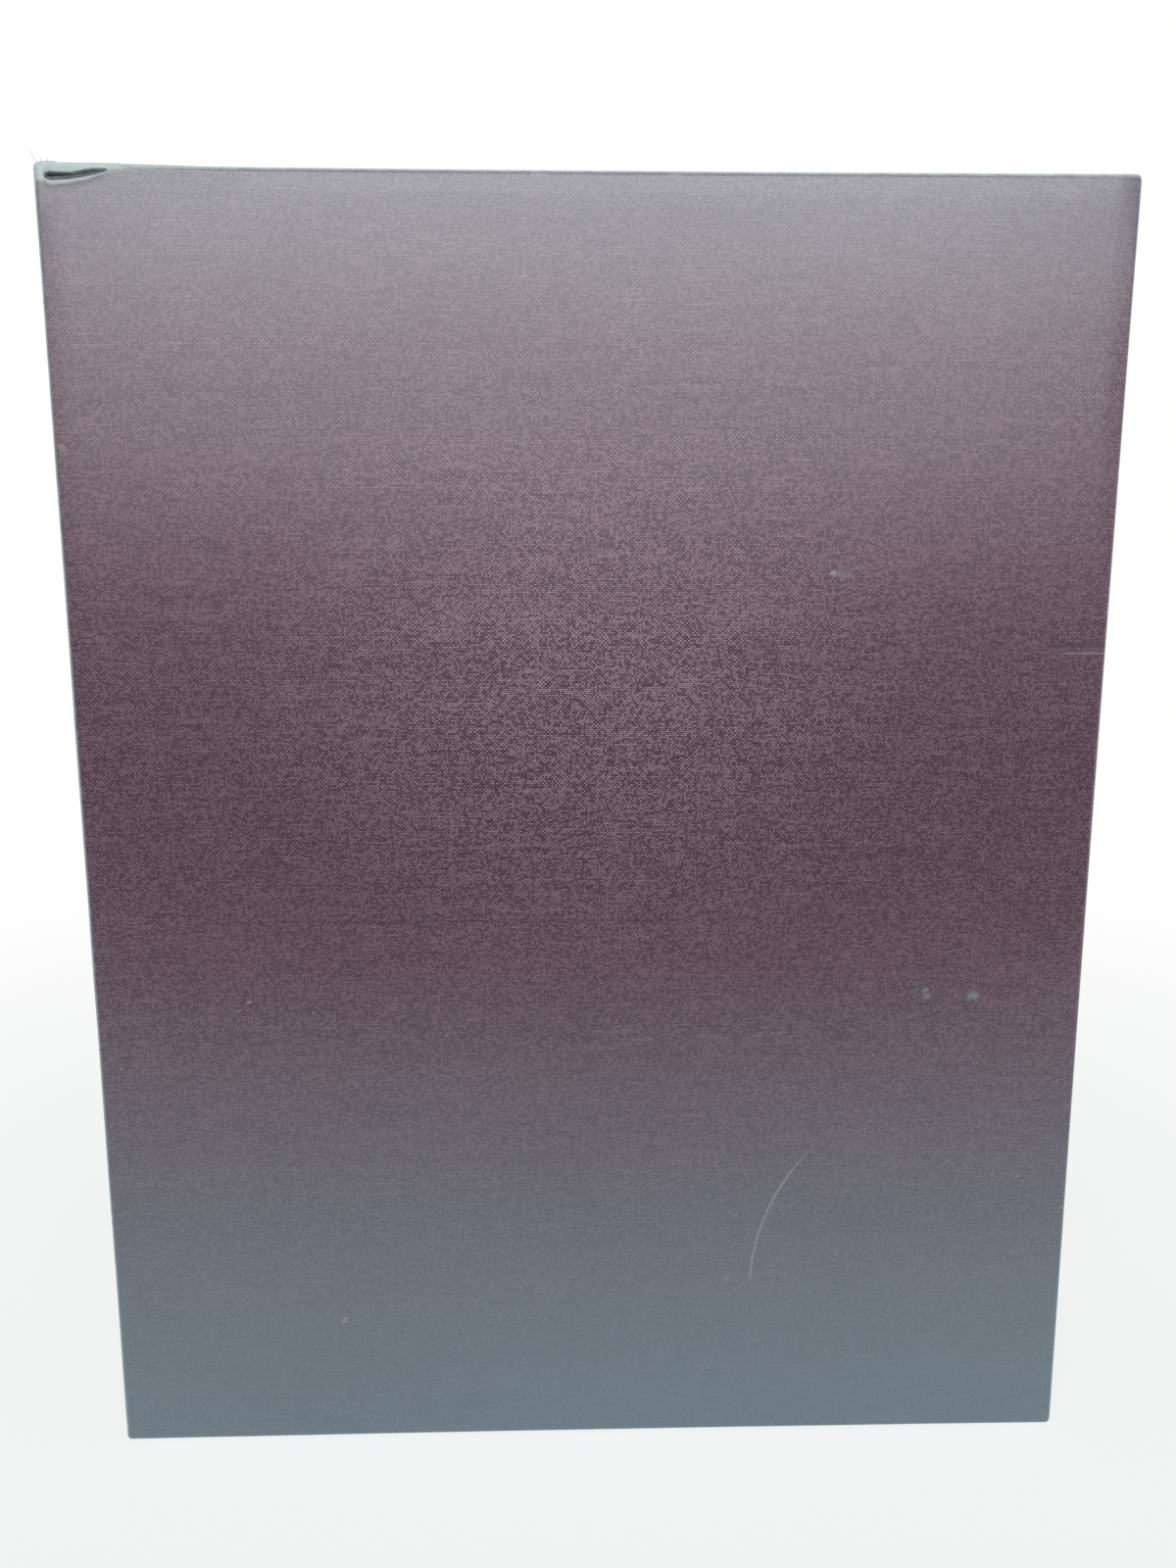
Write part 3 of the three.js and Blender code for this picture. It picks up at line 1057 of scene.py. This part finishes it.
def dark_material():
    graph = Graph(bpy.data.materials.new("dark_flag_cloth"))
    place = graph.node("ShaderNodeTexCoord").outputs["Object"]
    nap = graph.noise(place, 300.0)
    tone = graph.mix(nap, (0.02, 0.02, 0.022, 1.0), (0.03, 0.03, 0.032, 1.0))
    return graph.finish({"Base Color": tone, "Roughness": 0.95, "Specular IOR Level": 0.1})


def soft_light(name, power, size, place, aim, tint=(1, 1, 1)):
    data = bpy.data.lights.new(name, "AREA")
    data.shape = "RECTANGLE"
    data.size, data.size_y = size
    data.energy = power
    data.color = tint
    made = bpy.data.objects.new(name, data)
    bpy.context.scene.collection.objects.link(made)
    made.location = place
    made.rotation_euler = (Vector(aim) - Vector(place)).to_track_quat("-Z", "Y").to_euler()
    return made


class SLIPCASE_OT_stage(bpy.types.Operator):
    """Makes the floor, the lights and the camera"""

    bl_idname = "slipcase.stage"
    bl_label = "Stage"

    def execute(self, context):
        stage = context.scene.slipcase_stage
        bm = bmesh.new()
        bmesh.ops.create_circle(bm, cap_ends=True, radius=12.0, segments=96)
        floor = object_from(bm, "floor", stage_material(stage))

        # A low dark flag behind the camera keeps the horizon out of the cloth's gloss.
        bm = bmesh.new()
        place = Matrix.Translation((0.0, -0.4, 0.122)) @ Matrix.Diagonal((1.2, 0.01, 0.244, 1))
        bmesh.ops.create_cube(bm, size=1, matrix=place)
        flag = object_from(bm, "dark_flag", dark_material())
        flag.visible_camera = False

        graph = Graph(bpy.data.worlds.new("studio"))
        around_feeds = {"Color": (0.97, 1.0, 1.0, 1.0), "Strength": stage.surround}
        around = graph.node("ShaderNodeBackground", around_feeds).outputs[0]
        white = graph.node("ShaderNodeBackground", {"Color": (1, 1, 1, 1), "Strength": 1.0}).outputs[0]
        feeds = {0: background_seen(graph), 1: around, 2: white}
        mixed = graph.node("ShaderNodeMixShader", feeds).outputs[0]
        graph.feed(graph.node("ShaderNodeOutputWorld").inputs["Surface"], mixed)
        context.scene.world = graph.owner

        face = (0, -0.02, 0.28)
        soft_light("front_softbox", stage.front_light, (1.2, 0.30), (0.0, -0.93, 0.70), face, (0.93, 1, 1))
        soft_light("level_softbox", stage.level_light, (1.2, 0.20), (0.0, -0.95, 0.43), face)
        soft_light("top_softbox", stage.top_light, (1.0, 0.6), (0.0, -0.3, 1.1), (0, -0.1, 0.0))

        # The camera stands close, a little left of the middle, and looks down 10 degrees.
        data = bpy.data.cameras.new("camera")
        data.sensor_width = 36.0
        data.lens = 27.0
        data.clip_start = 0.01
        camera = bpy.data.objects.new("camera", data)
        context.scene.collection.objects.link(camera)
        camera.location = (-0.00855, -0.30024, 0.22250)
        down, right = math.radians(9.807), math.radians(1.475)
        camera.rotation_euler = Euler((math.pi / 2 - down, 0, -right))
        context.scene.camera = camera
        context.scene.view_settings.view_transform = "Standard"
        return {"FINISHED"}


class SLIPCASE_PT_panel(bpy.types.Panel):
    """Lists what makes up the slipcase"""

    bl_label = "Slipcase"
    bl_idname = "SLIPCASE_PT_panel"
    bl_space_type = "VIEW_3D"
    bl_region_type = "UI"
    bl_category = "Slipcase"

    def draw(self, context):
        for group in SETTINGS:
            settings = getattr(context.scene, group)
            for name in settings.__annotations__:
                self.layout.prop(settings, name)
        for operator in OPERATORS:
            self.layout.operator(operator.bl_idname)


SETTINGS = {
    "slipcase_cloth": SlipcaseClothSettings,
    "slipcase_gape": SlipcaseGapeSettings,
    "slipcase_inside": SlipcaseInsideSettings,
    "slipcase_stage": SlipcaseStageSettings,
}
OPERATORS = (SLIPCASE_OT_stage, SLIPCASE_OT_inside, SLIPCASE_OT_cover, SLIPCASE_OT_threads)


def register():
    for name, group in SETTINGS.items():
        bpy.utils.register_class(group)
        setattr(bpy.types.Scene, name, bpy.props.PointerProperty(type=group))
    for operator in OPERATORS:
        bpy.utils.register_class(operator)
    bpy.utils.register_class(SLIPCASE_PT_panel)


def unregister():
    bpy.utils.unregister_class(SLIPCASE_PT_panel)
    for operator in reversed(OPERATORS):
        bpy.utils.unregister_class(operator)
    for name, group in reversed(SETTINGS.items()):
        delattr(bpy.types.Scene, name)
        bpy.utils.unregister_class(group)


def main():
    register()
    bpy.ops.slipcase.stage()
    bpy.ops.slipcase.inside()
    bpy.ops.slipcase.cover()
    bpy.ops.slipcase.threads()


if __name__ == "__main__":
    main()
